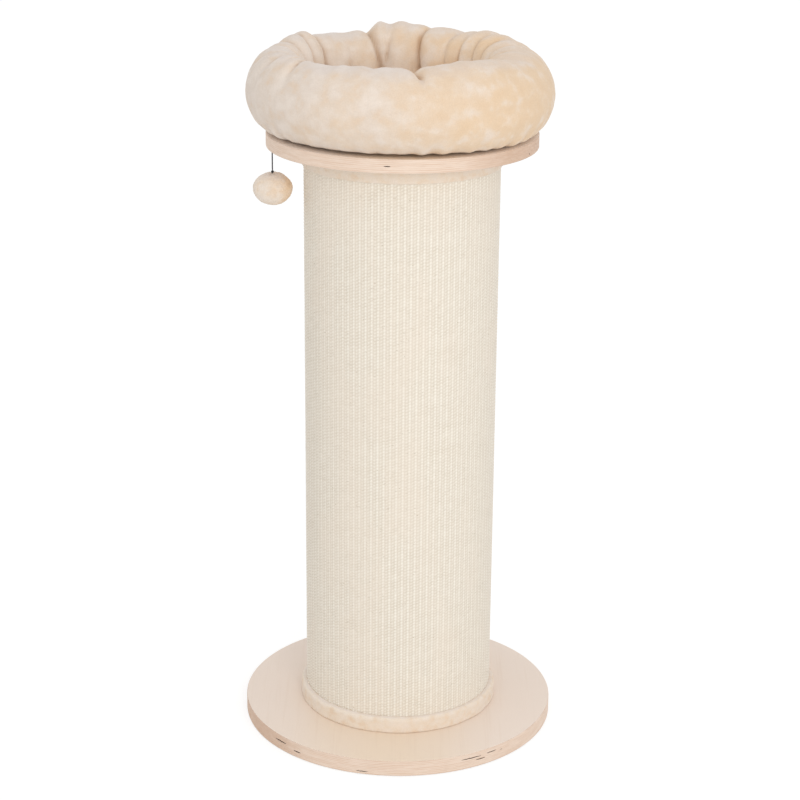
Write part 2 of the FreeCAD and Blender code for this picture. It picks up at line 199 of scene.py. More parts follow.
def settle(piece, bottom=-math.inf, top=math.inf):
    """Keeps a soft piece between the surfaces that it touches."""
    points = coordinates(piece.data)
    points[:, 2] = np.clip(points[:, 2], bottom, top)
    set_coordinates(piece.data, points)


def subdivide(piece):
    modifier = piece.modifiers.new("finer", "SUBSURF")
    modifier.levels = modifier.render_levels = 1
    keep_evaluated(piece)


def keep_evaluated(piece):
    """Makes what the modifiers give the piece's own mesh."""
    graph = bpy.context.evaluated_depsgraph_get()
    piece.data = bpy.data.meshes.new_from_object(piece.evaluated_get(graph))
    piece.modifiers.clear()


def carve(piece, cutters):
    """Takes the cutters' solids out of the piece."""
    for cutter in cutters:
        modifier = piece.modifiers.new("cut", "BOOLEAN")
        modifier.operation = "DIFFERENCE"
        modifier.solver = "EXACT"
        modifier.object = cutter
    keep_evaluated(piece)
    for cutter in cutters:
        bpy.data.objects.remove(cutter)
    return piece


CLOTH_MASS = 0.3
CLOTH_FRAMES = 20
CLOTH_BENDING = 0.5
CLOTH_TENSION = 10.0


def inflate(piece, pinned, pressure, cap):
    """Blows the cloth up from inside while the pinned points hold, and moves no point past the cap."""
    start = coordinates(piece.data)
    group = piece.vertex_groups.new(name="pinned")
    for weight in np.unique(np.round(pinned, 1)):
        if weight > 0:
            members = np.flatnonzero(np.round(pinned, 1) == weight)
            group.add(members.tolist(), float(weight), "REPLACE")
    cloth = piece.modifiers.new("cloth", "CLOTH")
    settings = cloth.settings
    settings.quality = 5
    settings.mass = CLOTH_MASS
    settings.tension_stiffness = settings.compression_stiffness = CLOTH_TENSION
    settings.shear_stiffness = CLOTH_TENSION / 3
    settings.bending_stiffness = CLOTH_BENDING
    settings.vertex_group_mass = group.name
    settings.use_pressure = True
    settings.uniform_pressure_force = pressure
    settings.effector_weights.gravity = 0
    cloth.collision_settings.use_collision = False
    cloth.collision_settings.use_self_collision = False
    cloth.point_cache.frame_start, cloth.point_cache.frame_end = 1, CLOTH_FRAMES
    for number in range(1, CLOTH_FRAMES + 1):
        bpy.context.scene.frame_set(number)
    graph = bpy.context.evaluated_depsgraph_get()
    moved = coordinates(piece.evaluated_get(graph).data) - start
    piece.modifiers.clear()
    piece.vertex_groups.clear()
    bpy.context.scene.frame_set(1)
    distance = np.linalg.norm(moved, axis=1, keepdims=True)
    set_coordinates(piece.data, start + moved * np.minimum(1, cap / np.maximum(distance, 1e-9)))


# ---- Material helpers ----


def srgb(red, green, blue):
    """A colour from 0 to 255 per channel, as the shader takes it."""
    channels = [c / 255 for c in (red, green, blue)]
    linear = [((c + 0.055) / 1.055) ** 2.4 if c > 0.04045 else c / 12.92 for c in channels]
    return (*linear, 1.0)


class Finish:
    """A material being made: its node tree, its surface shader and short ways to add nodes."""

    def __init__(self, name, **uniform):
        self.material = bpy.data.materials.new(name)
        self.material.use_nodes = True
        self.tree = self.material.node_tree
        self.shader = self.tree.nodes["Principled BSDF"]
        self.place = self.node("TexCoord").outputs["Object"]
        for socket, value in uniform.items():
            self.shader.inputs[socket.replace("_", " ")].default_value = value

    def node(self, kind, *links, **settings):
        """Adds a node. Links fill its inputs in order: a socket is joined, a value is written, and None
        leaves the input alone."""
        made = self.tree.nodes.new("ShaderNode" + kind)
        for key, value in settings.items():
            setattr(made, key, value)
        for socket, value in zip(made.inputs, links):
            if isinstance(value, bpy.types.NodeSocket):
                self.tree.links.new(value, socket)
            elif value is not None:
                socket.default_value = value
        return made

    def maths(self, operation, *values):
        return self.node("Math", *values, operation=operation).outputs[0]

    def attribute(self, name, output="Fac"):
        return self.node("Attribute", attribute_name=name).outputs[output]

    def split(self, vector):
        return self.node("SeparateXYZ", vector).outputs

    def noise(self, size, stretch=(1, 1, 1), detail=2.0, roughness=0.5, place=None):
        """Noise whose lumps are about this size in metres, made longer along each axis by the stretch."""
        scale = [1 / (size * s) for s in stretch]
        scaled = self.node("VectorMath", place or self.place, scale, operation="MULTIPLY").outputs[0]
        made = self.node("TexNoise", scaled)
        made.inputs["Scale"].default_value = 1.0
        made.inputs["Detail"].default_value = detail
        made.inputs["Roughness"].default_value = roughness
        return made.outputs[0]

    def ramp(self, value, start, end, low=0.0, high=1.0):
        """The value's stretch from start to end, smoothly spread from low to high."""
        made = self.node("MapRange", value, start, end, low, high, interpolation_type="SMOOTHSTEP")
        return made.outputs[0]

    def mix(self, factor, first, second, blend="MIX"):
        made = self.tree.nodes.new("ShaderNodeMix")
        made.data_type, made.blend_type = "RGBA", blend
        for socket, value in zip((made.inputs[0], made.inputs[6], made.inputs[7]), (factor, first, second)):
            if isinstance(value, bpy.types.NodeSocket):
                self.tree.links.new(value, socket)
            else:
                socket.default_value = value
        return made.outputs[2]

    def colour(self, value):
        self.tree.links.new(value, self.shader.inputs["Base Color"])

    def rough(self, value):
        self.tree.links.new(value, self.shader.inputs["Roughness"])

    def bump(self, height, distance, strength=1.0):
        made = self.node("Bump", strength, distance)
        self.tree.links.new(height, made.inputs["Height"])
        self.tree.links.new(made.outputs[0], self.shader.inputs["Normal"])


def dress(piece, finish):
    piece.data.materials.clear()
    piece.data.materials.append(finish.material)


# ---- Materials ----


PLUSH_TIP = srgb(240, 228, 217)
PLUSH_GOLD = srgb(228, 198, 164)
# Painted top light, mixed in where the pile faces up.
PLUSH_TOP_LIGHT_TINT = srgb(224, 215, 212)
# Painted shade, mixed in along the creases.
PLUSH_CREASE_SHADE = srgb(186, 150, 112)
SHORT_PATCH, SHORT_PILE = 14 * MM, 1.0 * MM  # on the bands and the ball


def plush_finish(name, painted_cool_tint, painted_warm_tint, reach, patch=26 * MM, pile=1.3 * MM):
    """Short-pile plush. Its colour carries painted light and shade, turning from one tint at the left of
    its reach to another at the right, cooler as painted top light where the pile faces up, and darker
    as painted shade in the creases. Its nap shows in soft patches of paler tips or the golden roots."""
    finish = Finish(name, Roughness=0.9, Sheen_Weight=0.2, Sheen_Roughness=0.45, Specular_IOR_Level=0.15)
    x = finish.split(finish.place)[0]
    broad = finish.noise(3 * patch, detail=1.0)
    blotch = finish.noise(patch, (1, 1, 0.8), detail=2.0, roughness=0.5)
    streak = finish.noise(5 * pile, (1, 1, 2.0), detail=2.0)
    fibre = finish.noise(pile, detail=2.0, roughness=0.7)
    # Painted light and shade across X: one tint at the left of the reach, the other at the right.
    wander = finish.maths("MULTIPLY", finish.maths("SUBTRACT", broad, 0.5), reach[1] - reach[0])
    base = finish.mix(finish.ramp(finish.maths("ADD", x, wander), *reach), painted_cool_tint, painted_warm_tint)
    nap = finish.maths("ADD", finish.maths("MULTIPLY", blotch, 0.8), finish.maths("MULTIPLY", streak, 0.2))
    base = finish.mix(finish.ramp(nap, 0.46, 0.7, 0.0, 0.55), base, PLUSH_TIP)
    base = finish.mix(finish.ramp(nap, 0.52, 0.3, 0.0, 0.4), base, PLUSH_GOLD)
    # Painted top light: a cooler tint where the pile faces up.
    top_light_facing = finish.split(finish.node("TexCoord").outputs["Normal"])[2]
    base = finish.mix(finish.ramp(top_light_facing, 0.7, 0.98, 0.0, 0.35), base, PLUSH_TOP_LIGHT_TINT)
    # Painted shade: a darker, browner colour along the creases.
    base = finish.mix(finish.maths("MULTIPLY", finish.attribute("crease"), 0.6), base, PLUSH_CREASE_SHADE)
    shade = finish.ramp(fibre, 0.25, 0.75, 0.93, 1.05)
    grey = finish.node("CombineColor", shade, shade, shade).outputs[0]
    finish.colour(finish.mix(1.0, base, grey, "MULTIPLY"))
    height = finish.maths("ADD", fibre, finish.maths("MULTIPLY", streak, 0.8))
    finish.bump(height, 0.5 * pile, 0.5)
    return finish


def sisal_finish():
    """Coarse pale fibre with odd brown flecks. It has a painted highlight on the beads and painted shade
    down in the grooves.
    """
    finish = Finish("sisal_weave", Roughness=0.8, Specular_IOR_Level=0.2)
    place = finish.attribute("wrap", "Vector")
    height = finish.attribute("height")
    tone = finish.attribute("tone")
    fibre = finish.noise(0.6 * MM, (1, 2.5, 1), detail=3.0, place=place)
    drift = finish.noise(60 * MM, (1, 2.5, 1), detail=2.0, place=place)
    # Painted shade and highlight: darker down in the grooves and brighter on the bead crowns, by the
    # relief's height.
    base = finish.mix(finish.ramp(height, 0.1, 0.95), srgb(224, 213, 196), srgb(255, 249, 238))
    base = finish.mix(finish.ramp(tone, 0.3, 1.0, 0.0, 0.12), base, srgb(255, 249, 238))
    base = finish.mix(finish.ramp(drift, 0.4, 0.65, 0.0, 0.25), base, srgb(243, 229, 213))
    base = finish.mix(finish.ramp(fibre, 0.45, 0.2, 0.0, 0.4), base, srgb(206, 191, 168))
    fleck = finish.noise(1.8 * MM, (3.2, 0.4, 1), detail=0.0, place=place)
    finish.colour(finish.mix(finish.ramp(fleck, 0.79, 0.82, 0.0, 0.75), base, srgb(166, 148, 120)))
    finish.bump(fibre, 0.4 * MM, 0.7)
    return finish


def plywood_finish(name, radius, low, high, edge_shade_span):
    """Birch plywood: quiet straight grain on the faces, thin plies and small voids on the edge. The faces
    carry a painted reflection, warmer towards the middle; the voids are painted dark inside as shade; and
    the edge has painted shade over its shade span, along X."""
    finish = Finish(name, Roughness=0.55, Specular_IOR_Level=0.3)
    x, y, z = finish.split(finish.place)
    across = finish.node("CombineXYZ", x, y).outputs[0]
    reach = finish.node("VectorMath", across, operation="LENGTH").outputs[1]
    broad = finish.noise(160 * MM, (1, 2.0, 1), detail=2.0)
    grain = finish.noise(5 * MM, (1, 40, 1), detail=3.0, roughness=0.6)
    pores = finish.noise(0.7 * MM, (1, 18, 1), detail=2.0)
    # Painted reflection: the faces are warmer towards the middle and cooler to the left and right.
    wander = finish.maths("MULTIPLY", finish.maths("SUBTRACT", broad, 0.5), 0.8 * radius)
    aside = finish.maths("ADD", finish.maths("ABSOLUTE", x), wander)
    painted_warm_tint, painted_cool_tint = srgb(236, 217, 196), srgb(237, 222, 210)
    face = finish.mix(finish.ramp(aside, 0.1 * radius, 0.8 * radius), painted_warm_tint, painted_cool_tint)
    face = finish.mix(finish.ramp(grain, 0.5, 0.75, 0.0, 0.14), face, srgb(214, 190, 168))
    face = finish.mix(finish.ramp(pores, 0.6, 0.8, 0.0, 0.12), face, srgb(204, 180, 158))
    ply = finish.maths("DIVIDE", finish.maths("SUBTRACT", z, low), PLY)
    parity = finish.maths("MODULO", finish.maths("FLOOR", ply), 2.0)
    side = finish.maths("DIVIDE", x, reach)
    end_grain = finish.maths("MULTIPLY", side, side)
    turned = finish.maths("ABSOLUTE", finish.maths("SUBTRACT", parity, end_grain))
    streaks = finish.noise(1.2 * MM, (10, 10, 0.5), detail=2.0)
    patchy = finish.ramp(finish.noise(40 * MM, (1, 1, 0.1), detail=2.0), 0.35, 0.65, 0.25, 1.0)
    edge = finish.mix(finish.maths("MULTIPLY", turned, patchy), srgb(240, 220, 203), srgb(226, 197, 174))
    edge = finish.mix(finish.ramp(streaks, 0.5, 0.75, 0.0, 0.4), edge, srgb(212, 184, 160))
    line = finish.maths("ABSOLUTE", finish.maths("SUBTRACT", finish.maths("FRACT", ply), 0.5))
    line = finish.maths("MULTIPLY", finish.ramp(line, 0.4, 0.5, 0.0, 0.35), patchy)
    edge = finish.mix(line, edge, srgb(196, 160, 134))
    # Painted shade: the edge turns browner over its shade span along X, broken up by the streaks.
    edge_shade_ramp = finish.ramp(x, *edge_shade_span, 0.0, 0.75)
    painted_edge_shade = finish.maths("MULTIPLY", edge_shade_ramp, finish.ramp(streaks, 0.3, 0.6, 0.6, 1.0))
    edge = finish.mix(painted_edge_shade, edge, srgb(206, 172, 146))
    # Painted shade: the insides of the voids are coloured dark brown.
    inside = finish.maths("LESS_THAN", reach, radius - 0.45 * MM)
    level = finish.maths("ABSOLUTE", finish.maths("SUBTRACT", z, (low + high) / 2))
    void_shade = finish.maths("MULTIPLY", inside, finish.maths("LESS_THAN", level, (high - low) / 2 - 0.4 * MM))
    edge = finish.mix(void_shade, edge, srgb(98, 58, 34))
    facing = finish.maths("ABSOLUTE", finish.split(finish.node("TexCoord").outputs["Normal"])[2])
    flat = finish.maths("MULTIPLY", finish.ramp(facing, 0.6, 0.9), finish.maths("SUBTRACT", 1.0, void_shade))
    finish.colour(finish.mix(flat, edge, face))
    finish.bump(finish.maths("ADD", grain, pores), 0.08 * MM, 0.5)
    return finish


def cord_finish():
    finish = Finish("black_cord", Roughness=0.6, Specular_IOR_Level=0.3)
    thread = finish.noise(0.25 * MM, (1, 1, 2.0))
    finish.colour(finish.mix(finish.ramp(thread, 0.3, 0.7), srgb(38, 38, 41), srgb(62, 62, 66)))
    finish.bump(thread, 0.08 * MM, 0.6)
    return finish


def steel_finish():
    finish = Finish("zinc_steel", Metallic=1.0, Specular_IOR_Level=0.5)
    cloud = finish.noise(3 * MM, detail=3.0)
    scratch = finish.noise(0.4 * MM, (1, 6, 1))
    finish.colour(finish.mix(finish.ramp(cloud, 0.35, 0.65), srgb(176, 178, 182), srgb(205, 207, 209)))
    finish.rough(finish.ramp(scratch, 0.3, 0.7, 0.28, 0.46))
    finish.bump(scratch, 0.02 * MM, 0.4)
    return finish


def fibre_finish(name, dark, light, size, stretch=(1, 1, 1)):
    """A matt fibrous or pressed material: felt, board, card or cloth tape."""
    finish = Finish(name, Roughness=0.9, Specular_IOR_Level=0.2)
    fine = finish.noise(size, stretch, detail=3.0, roughness=0.65)
    broad = finish.noise(14 * size, stretch, detail=1.0)
    both = finish.maths("ADD", finish.maths("MULTIPLY", fine, 0.7), finish.maths("MULTIPLY", broad, 0.3))
    finish.colour(finish.mix(finish.ramp(both, 0.32, 0.68), dark, light))
    finish.bump(fine, 0.3 * size, 0.6)
    return finish


# Painted light and shade across the bed: a cooler shade tint at the left, a warmer light tint at the right.
BED_LEFT_SHADE_TINT = srgb(230, 216, 203)
BED_RIGHT_LIGHT_TINT = srgb(233, 207, 177)
BED_PAINTED_LIGHT_REACH = (-220 * MM, 180 * MM)

steel = steel_finish()
cord_black = cord_finish()
NODE_FINISHES = {
    "floor_felt_pads": fibre_finish("grey_felt", srgb(92, 90, 88), srgb(128, 126, 122), 0.5 * MM),
    "lower_end_disc": fibre_finish("disc_board", srgb(186, 158, 122), srgb(216, 190, 152), 1.2 * MM),
    "post_tube": fibre_finish("tube_card", srgb(150, 118, 84), srgb(178, 146, 108), 0.8 * MM, (1, 1, 6)),
    "plate_hook_pads": fibre_finish("hook_tape", srgb(206, 196, 180), srgb(232, 224, 210), 0.6 * MM),
    "bed_loop_pads": fibre_finish("loop_tape", srgb(214, 203, 186), srgb(238, 229, 214), 0.9 * MM),
    "bed_underside_panel": fibre_finish("lining_cloth", srgb(198, 186, 168), srgb(222, 211, 194), 0.7 * MM),
}
NODE_FINISHES["upper_end_disc"] = NODE_FINISHES["lower_end_disc"]
for steel_node in (
    "lower_disc_nails", "upper_disc_nails", "base_washers", "top_washers", "base_bolts", "top_bolts",
    "base_tee_nuts", "top_tee_nuts", "seam_staples", "toy_staple",
):
    NODE_FINISHES[steel_node] = steel


def dress_nodes():
    for node, finish in NODE_FINISHES.items():
        dress(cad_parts[node], finish)


# ---- Camera, first of all ----

CAMERA_PLACE = Vector((0.0, -3.1243, 1.604))
CAMERA_DOWN = math.radians(18.915)
CAMERA_TURN = math.radians(0.0085)
CAMERA_ROLL = math.radians(0.48)
CAMERA_LENS = 93.79  # millimetres on a 36 mm sensor


def make_camera():
    camera = bpy.data.objects.new("camera", bpy.data.cameras.new("camera"))
    camera.data.lens, camera.data.sensor_width = CAMERA_LENS, 36.0
    camera.data.clip_start, camera.data.clip_end = 0.1, 200.0
    tilt = Matrix.Rotation(math.pi / 2 - CAMERA_DOWN, 4, "X") @ Matrix.Rotation(CAMERA_ROLL, 4, "Z")
    camera.matrix_world = Matrix.Translation(CAMERA_PLACE) @ Matrix.Rotation(CAMERA_TURN, 4, "Z") @ tilt
    bpy.context.scene.collection.objects.link(camera)
    bpy.context.scene.camera = camera


# ---- Toy cord and its knots ----

ROUTE = [
    CORD_AXIS + Vector((0, 0, cord_high.z + 0.8 * MM)),
    CORD_AXIS + Vector((0, 0, cord_low.z - 0.4 * MM)),
]
BRAID_STRANDS = 6
BRAID_TURN = 5 * MM  # of cord for a full turn of its braid
BRAID_DEPTH = 0.07  # of the radius, and twice that in the deepest hollows
TIP_LENGTH = 1.8 * MM
TIP_NARROWING = 0.3  # of the radius


def route_points(points, steps):
    """Points along the cord's own spline. The toy hangs straight, so the route is one run."""
    curve = bpy.data.curves.new("route", "CURVE")
    curve.dimensions = "3D"
    curve.resolution_u = steps
    spline = curve.splines.new("NURBS")
    spline.points.add(len(points) - 1)
    for point, place in zip(spline.points, points):
        point.co = (*place, 1.0)
    spline.order_u = min(3, len(points))
    spline.use_endpoint_u = True
    route = bpy.data.objects.new("route", curve)
    bpy.context.scene.collection.objects.link(route)
    graph = bpy.context.evaluated_depsgraph_get()
    line = coordinates(bpy.data.meshes.new_from_object(route.evaluated_get(graph)))
    bpy.data.objects.remove(route)
    return line


def braided_tube(name, line, radius, sides, strands, closed=False, tip=0.0):
    """Braided cord along a line of points. Its ends narrow over the tip length, where they are pulled
    into a knot."""
    line = np.asarray(line)
    steps = np.roll(line, -1, 0) - np.roll(line, 1, 0)
    if not closed:
        steps[0], steps[-1] = line[1] - line[0], line[-1] - line[-2]
    forward = steps / np.linalg.norm(steps, axis=1, keepdims=True)
    side = np.cross(forward, [0.31, 0.17, 0.94] if closed else [1.0, 0.0, 0.0])
    side /= np.linalg.norm(side, axis=1, keepdims=True)
    up = np.cross(forward, side)
    travelled = np.concatenate([[0], np.cumsum(np.linalg.norm(np.diff(line, axis=0), axis=1))])
    angle = np.linspace(0, 2 * math.pi, sides, endpoint=False)
    twist = 2 * math.pi * travelled[:, None] / BRAID_TURN
    ridges = np.cos(strands * angle + twist) * np.cos(strands * angle - twist)
    reach = radius * (1 - BRAID_DEPTH * (1 - ridges))
    if tip:
        to_end = np.minimum(travelled, travelled[-1] - travelled)[:, None]
        reach *= 1 - TIP_NARROWING * smooth_step(to_end, tip, 0.2 * tip)
    around = np.cos(angle)[None, :, None] * side[:, None] + np.sin(angle)[None, :, None] * up[:, None]
    points = line[:, None] + reach[..., None] * around
    faces = grid_faces(len(line), sides, close_columns=closed)
    if not closed:
        faces += [list(range(sides)), list(range(sides * (len(line) - 1), sides * len(line)))]
    return mesh_object(name, points, faces, 60)


def knot(name, centre, reach, cord_radius):
    """A pulled-tight overhand knot, drawn as a closed trefoil of cord."""
    t = np.linspace(0, 2 * math.pi, 96, endpoint=False)
    x = np.sin(t) + 2 * np.sin(2 * t)
    y = np.cos(t) - 2 * np.cos(2 * t)
    z = -np.sin(3 * t)
    size = (reach - cord_radius) / 3.0
    line = np.stack([x * size, z * size * 1.5, y * size], axis=-1) + np.array(centre)
    return braided_tube(name, line, cord_radius, sides=12, strands=3, closed=True)


def make_cord():
    top_knot_place = (top_knot_low + top_knot_high) / 2
    lower_knot_place = (lower_knot_low + lower_knot_high) / 2
    upper = knot("toy_top_knot_cord", top_knot_place, reach=3.0 * MM, cord_radius=1.0 * MM)
    lower = knot("toy_lower_knot_cord", lower_knot_place, reach=2.6 * MM, cord_radius=0.95 * MM)
    line = route_points(ROUTE, 48)
    cord = braided_tube("toy_cord_braided", line, CORD_DIAMETER / 2, 24, BRAID_STRANDS, tip=TIP_LENGTH)
    for piece, body, node in ((upper, "toy_knot", "toy_top_knot"), (lower, "toy_ball", "toy_lower_knot")):
        dress(piece, cord_black)
        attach(piece, body)
        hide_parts(node)
    dress(cord, cord_black)
    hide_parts("toy_cord")
    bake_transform(cord)


# ---- Plywood plates ----

Void = namedtuple("Void", "angle height length thickness")  # degrees, then metres from the underside
BASE_VOIDS = [
    Void(-137.9, 15.4 * MM, 27 * MM, 2.0 * MM),
    Void(-129.3, 10.4 * MM, 15 * MM, 1.9 * MM),
    Void(-102.7, 5.0 * MM, 19 * MM, 1.4 * MM),
    Void(-62.3, 17.2 * MM, 36 * MM, 1.6 * MM),
    Void(-58.5, 12.0 * MM, 17 * MM, 1.5 * MM),
    Void(-53.6, 18.2 * MM, 19 * MM, 1.4 * MM),
    Void(-49.0, 15.8 * MM, 4 * MM, 1.0 * MM),
    Void(18, 9.5 * MM, 14 * MM, 1.1 * MM),
    Void(66, 15.2 * MM, 20 * MM, 1.0 * MM),
    Void(118, 6.8 * MM, 12 * MM, 1.2 * MM),
    Void(171, 12.4 * MM, 18 * MM, 1.0 * MM),
]
TOP_VOIDS = [
    Void(-96.0, 10.6 * MM, 10 * MM, 1.5 * MM),
    Void(-24.8, 4.9 * MM, 4.5 * MM, 1.7 * MM),
    Void(-16.7, 14.2 * MM, 4 * MM, 1.1 * MM),
    Void(37, 7.8 * MM, 15 * MM, 1.0 * MM),
    Void(104, 13.2 * MM, 9 * MM, 1.2 * MM),
    Void(152, 6.4 * MM, 12 * MM, 1.0 * MM),
]
VOID_DEPTH = 4 * MM
# Where each plate's edge carries painted shade, along X.
BASE_EDGE_SHADE_SPAN = (-130 * MM, -215 * MM)
TOP_EDGE_SHADE_SPAN = (60 * MM, 170 * MM)


def plate_section(radius, low, high):
    """Half the plate's section, from its axis underneath to its axis on top. Every other ply is set back
    a hair."""
    rounding, quarter = PLATE_EDGE_ROUND, np.linspace(0, math.pi / 2, 6)
    flat = radius - rounding
    points = [(0.0, low), (radius * 0.5, low)]
    points += [(flat + rounding * math.sin(a), low + rounding * (1 - math.cos(a))) for a in quarter]
    count = round((high - low) / PLY)
    for ply in range(2, count - 1):
        edge = radius - (PLY_SETBACK if ply % 2 else 0.0)
        points += [(edge, low + (ply + 0.06) * PLY), (edge, low + (ply + 0.9) * PLY)]
    points += [(flat + rounding * math.cos(a), high - rounding * (1 - math.sin(a))) for a in quarter]
    points += [(radius * 0.5, high), (0.0, high)]
    return points


def turned_solid(name, section, segments):
    """The closed mesh that a half section sweeps round the Z axis. Its ends lie on the axis."""
    inner = np.array(section[1:-1])
    angle = np.linspace(0, 2 * math.pi, segments, endpoint=False)
    points = polar(inner[None, :, 0], angle[:, None], inner[None, :, 1]).reshape(-1, 3)
    rows = len(inner)
    faces = grid_faces(segments, rows, close_rows=False)
    low, high = len(points), len(points) + 1
    for i in range(segments):
        j = (i + 1) % segments
        faces.append([low, i * rows, j * rows])
        faces.append([high, i * rows + rows - 1, j * rows + rows - 1])
    ends = [(0, 0, section[0][1]), (0, 0, section[-1][1])]
    return mesh_object(name, np.concatenate([points, ends]), faces, 40)


def void_cutter(void, radius, low):
    """A thin ragged sliver that a knot or a gap left in the plies, bent to the rim."""
    half = void.length / 2 / radius
    angle = math.radians(void.angle) + np.linspace(-half, half, 9)
    taper = np.sqrt(np.clip(1 - np.linspace(-0.97, 0.97, 9) ** 2, 0.04, 1))
    ragged = 0.18 * void.thickness * np.sin(np.arange(9) * 2.4 + void.angle)
    middle = low + void.height + ragged
    corners = []
    for depth, side in ((1 * MM, -1), (1 * MM, 1), (-VOID_DEPTH, 1), (-VOID_DEPTH, -1)):
        reach = radius + (depth if depth > 0 else depth * taper)
        corners.append(polar(reach, angle, middle + side * taper * void.thickness / 2))
    points = np.stack(corners, axis=1)
    faces = grid_faces(9, 4, close_columns=False) + [[0, 1, 2, 3], [32, 33, 34, 35]]
    return mesh_object("void", points, faces)


def cylinder(name, radius, low, high, place, segments=48):
    angle = np.linspace(0, 2 * math.pi, segments, endpoint=False)
    rims = [polar(radius, angle, height, place) for height in (low, high)]
    points = np.stack(rims, axis=1)
    faces = grid_faces(segments, 2, close_rows=False)
    faces += [list(range(0, 2 * segments, 2)), list(range(1, 2 * segments, 2))]
    return mesh_object(name, points, faces)


def make_plate(name, node, radius, low, high, voids, recess, edge_shade_span):
    """A plate with its rim voids and its bolt holes, whose recesses run over the recess heights."""
    plate = turned_solid(name, plate_section(radius, low, high), PLATE_SEGMENTS)
    cutters = [void_cutter(void, radius, low) for void in voids]
    for i in range(4):
        angle = math.radians(45 + 90 * i)
        place = Vector((BOLT_CIRCLE_RADIUS * math.cos(angle), BOLT_CIRCLE_RADIUS * math.sin(angle), 0))
        cutters.append(cylinder("hole", BOLT_HOLE_RADIUS, low - MM, high + MM, place))
        cutters.append(cylinder("recess", BOLT_RECESS_RADIUS, *recess, place))
    carve(plate, cutters)
    plate.data.set_sharp_from_angle(angle=math.radians(40))
    dress(plate, plywood_finish(name + "_birch", radius, low, high, edge_shade_span))
    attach(plate, "post")
    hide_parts(node)


def make_plates():
    base_recess = (base_low.z - MM, base_low.z + BOLT_RECESS_DEPTH)
    top_recess = (top_high.z - BOLT_RECESS_DEPTH, top_high.z + MM)
    base_levels, top_levels = (base_low.z, base_high.z), (top_low.z, top_high.z)
    make_plate("base_plywood", "base_plate", BASE_RADIUS, *base_levels, BASE_VOIDS, base_recess, BASE_EDGE_SHADE_SPAN)
    make_plate("top_plywood", "top_plate", TOP_RADIUS, *top_levels, TOP_VOIDS, top_recess, TOP_EDGE_SHADE_SPAN)


# ---- Sisal cover ----

COLUMNS_PER_RIB = 4
ROWS_PER_BEAD = 4
# Across a rib: the groove's small beads, a flank, the crown's large beads, the other flank
COLUMN_HEIGHT = np.array([0.72, 0.36, 1.0, 0.36])
COLUMN_SWELL = np.array([0.4, 0.14, 0.5, 0.14])  # how much a bead stands out of its column
COLUMN_PHASE = np.array([0.5, 0.25, 0.0, 0.25])  # in beads, which gives the weave its zigzag


def make_sisal():
    """A woven mat of upright chains of loops, wrapped once round the tube and open at its seam."""
    random = np.random.default_rng(11)
    low, high = sisal_low.z, sisal_high.z
    columns = RIB_COUNT * COLUMNS_PER_RIB + 1
    beads = round((high - low) / BEAD_PITCH)
    rows = beads * ROWS_PER_BEAD + 1
    rib = np.minimum(np.arange(columns) // COLUMNS_PER_RIB, RIB_COUNT - 1)
    kind = np.arange(columns) % COLUMNS_PER_RIB
    angle = SEAM_ANGLE + np.arange(columns) * RIB_STEP / COLUMNS_PER_RIB
    edge = SEAM_GAP / 2 / SISAL_RADIUS
    angle[0], angle[-1] = angle[0] + edge, angle[-1] - edge
    height = np.linspace(low, high, rows)
    wander = np.cumsum(random.normal(0, 0.035, (beads + 2, RIB_COUNT)), axis=0)
    drift = random.uniform(0, 1, RIB_COUNT) + wander[np.minimum(np.arange(rows) // ROWS_PER_BEAD, beads)]
    turn = np.arange(rows)[:, None] / ROWS_PER_BEAD + drift[:, rib] + COLUMN_PHASE[kind]
    swell = np.cos(2 * math.pi * turn)
    number = np.floor(turn + 0.5).astype(int) % (beads + 2)
    size = 1 + 0.12 * random.normal(0, 1, (beads + 2, RIB_COUNT)).clip(-2, 2)[number, rib]
    tone = random.uniform(0, 1, (beads + 2, RIB_COUNT))[number, rib]
    tightness = 1 + 0.1 * wave(height * 40, 5, 1, 5)[:, None] * np.cos(3 * angle)
    relief = COLUMN_HEIGHT[kind] - COLUMN_SWELL[kind] * (0.5 - 0.5 * swell) * size * tightness
    relief = np.clip(relief, -0.05, 1.0)
    radius = SISAL_RADIUS - RIB_DEPTH * (1 - relief)
    shake = random.normal(0, 0.00018, (rows, columns)) / SISAL_RADIUS
    shake[:, [0, -1]] = 0
    outer = polar(radius, angle + shake, height[:, None]).transpose(1, 0, 2)
    inner = [polar(TUBE_RADIUS, angle, z)[:, None] for z in (high, low)]
    points = np.concatenate([outer, *inner], axis=1)
    faces = grid_faces(columns, rows + 2, close_columns=False)
    faces += [list(range(rows + 2)), list(range((columns - 1) * (rows + 2), columns * (rows + 2)))]
    cover = mesh_object("sisal_mat", points, faces, 80)
    inside = np.zeros((columns, 2))
    # The relief, which the material also uses to paint shade in the grooves and highlights on the beads.
    store(cover, "height", np.concatenate([relief.T, inside], axis=1).ravel())
    store(cover, "tone", np.concatenate([tone.T, inside], axis=1).ravel())
    round_post = np.broadcast_to(angle * SISAL_RADIUS, (rows, columns)).T
    wrap = np.stack([round_post, outer[..., 2], radius.T], axis=-1)
    store(cover, "wrap", np.concatenate([wrap, wrap[:, [-1, 0]]], axis=1).reshape(-1, 3))
    dress(cover, sisal_finish())
    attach(cover, "post")
    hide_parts("sisal_cover")


# ---- Plush bands ----

BAND_COLUMNS = 480
BAND_BITE = 1.3 * MM  # how far the bands' backs sink between the ribs
UPPER_BAND_FOOT = 2.8 * MM  # how far the upper band stands out of the ribs at its lower edge
# Painted light and shade across the bands, from the left tint to the right tint, which are nearly alike.
BAND_LEFT_SHADE_TINT = srgb(237, 223, 206)
BAND_RIGHT_LIGHT_TINT = srgb(237, 222, 205)
BAND_PAINTED_LIGHT_REACH = (-150 * MM, 150 * MM)


